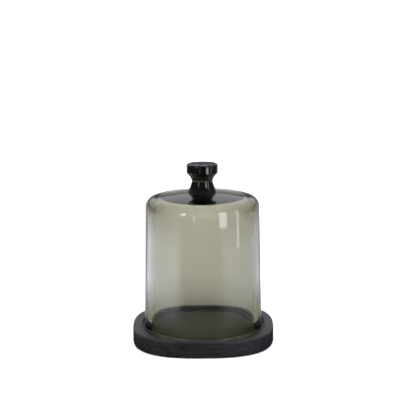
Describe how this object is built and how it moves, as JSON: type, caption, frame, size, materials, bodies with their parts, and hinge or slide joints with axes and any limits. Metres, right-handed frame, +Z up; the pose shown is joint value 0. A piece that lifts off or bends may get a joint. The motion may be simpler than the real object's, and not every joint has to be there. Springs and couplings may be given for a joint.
{
  "type": "bell jar",
  "caption": "Smoked-glass bell jar with a solid glass knob, standing in the recess of a rounded-square black wooden tray; the dome lifts off.",
  "frame": {"origin": "centre of the plane that the felt pads stand on, under the middle of the tray", "axes": "+Z up along the dome's axis, +X and +Y across the tray's flat sides; the front of the pictured view is -Y"},
  "size_m": [0.126, 0.126, 0.1606],
  "materials": {
    "black_wood": "black stained and satin lacquered",
    "grey_felt": "pressed felt",
    "smoked_glass": "clear polished, grey-olive smoke tint",
    "thick_smoked_glass": "polished solid glass, near black because it is thick"
  },
  "bodies": {
    "tray": {"base_tray": "black_wood", "felt_pad_1": "grey_felt", "felt_pad_2": "grey_felt", "felt_pad_3": "grey_felt", "felt_pad_4": "grey_felt"},
    "dome": {"dome_shell": "smoked_glass", "glass_knob": "thick_smoked_glass"}
  },
  "joints": [
    {"name": "dome_lift", "type": "slide", "parent": "tray", "child": "dome", "axis": [0, 0, 1], "range_m": [0, 0.13]}
  ]
}
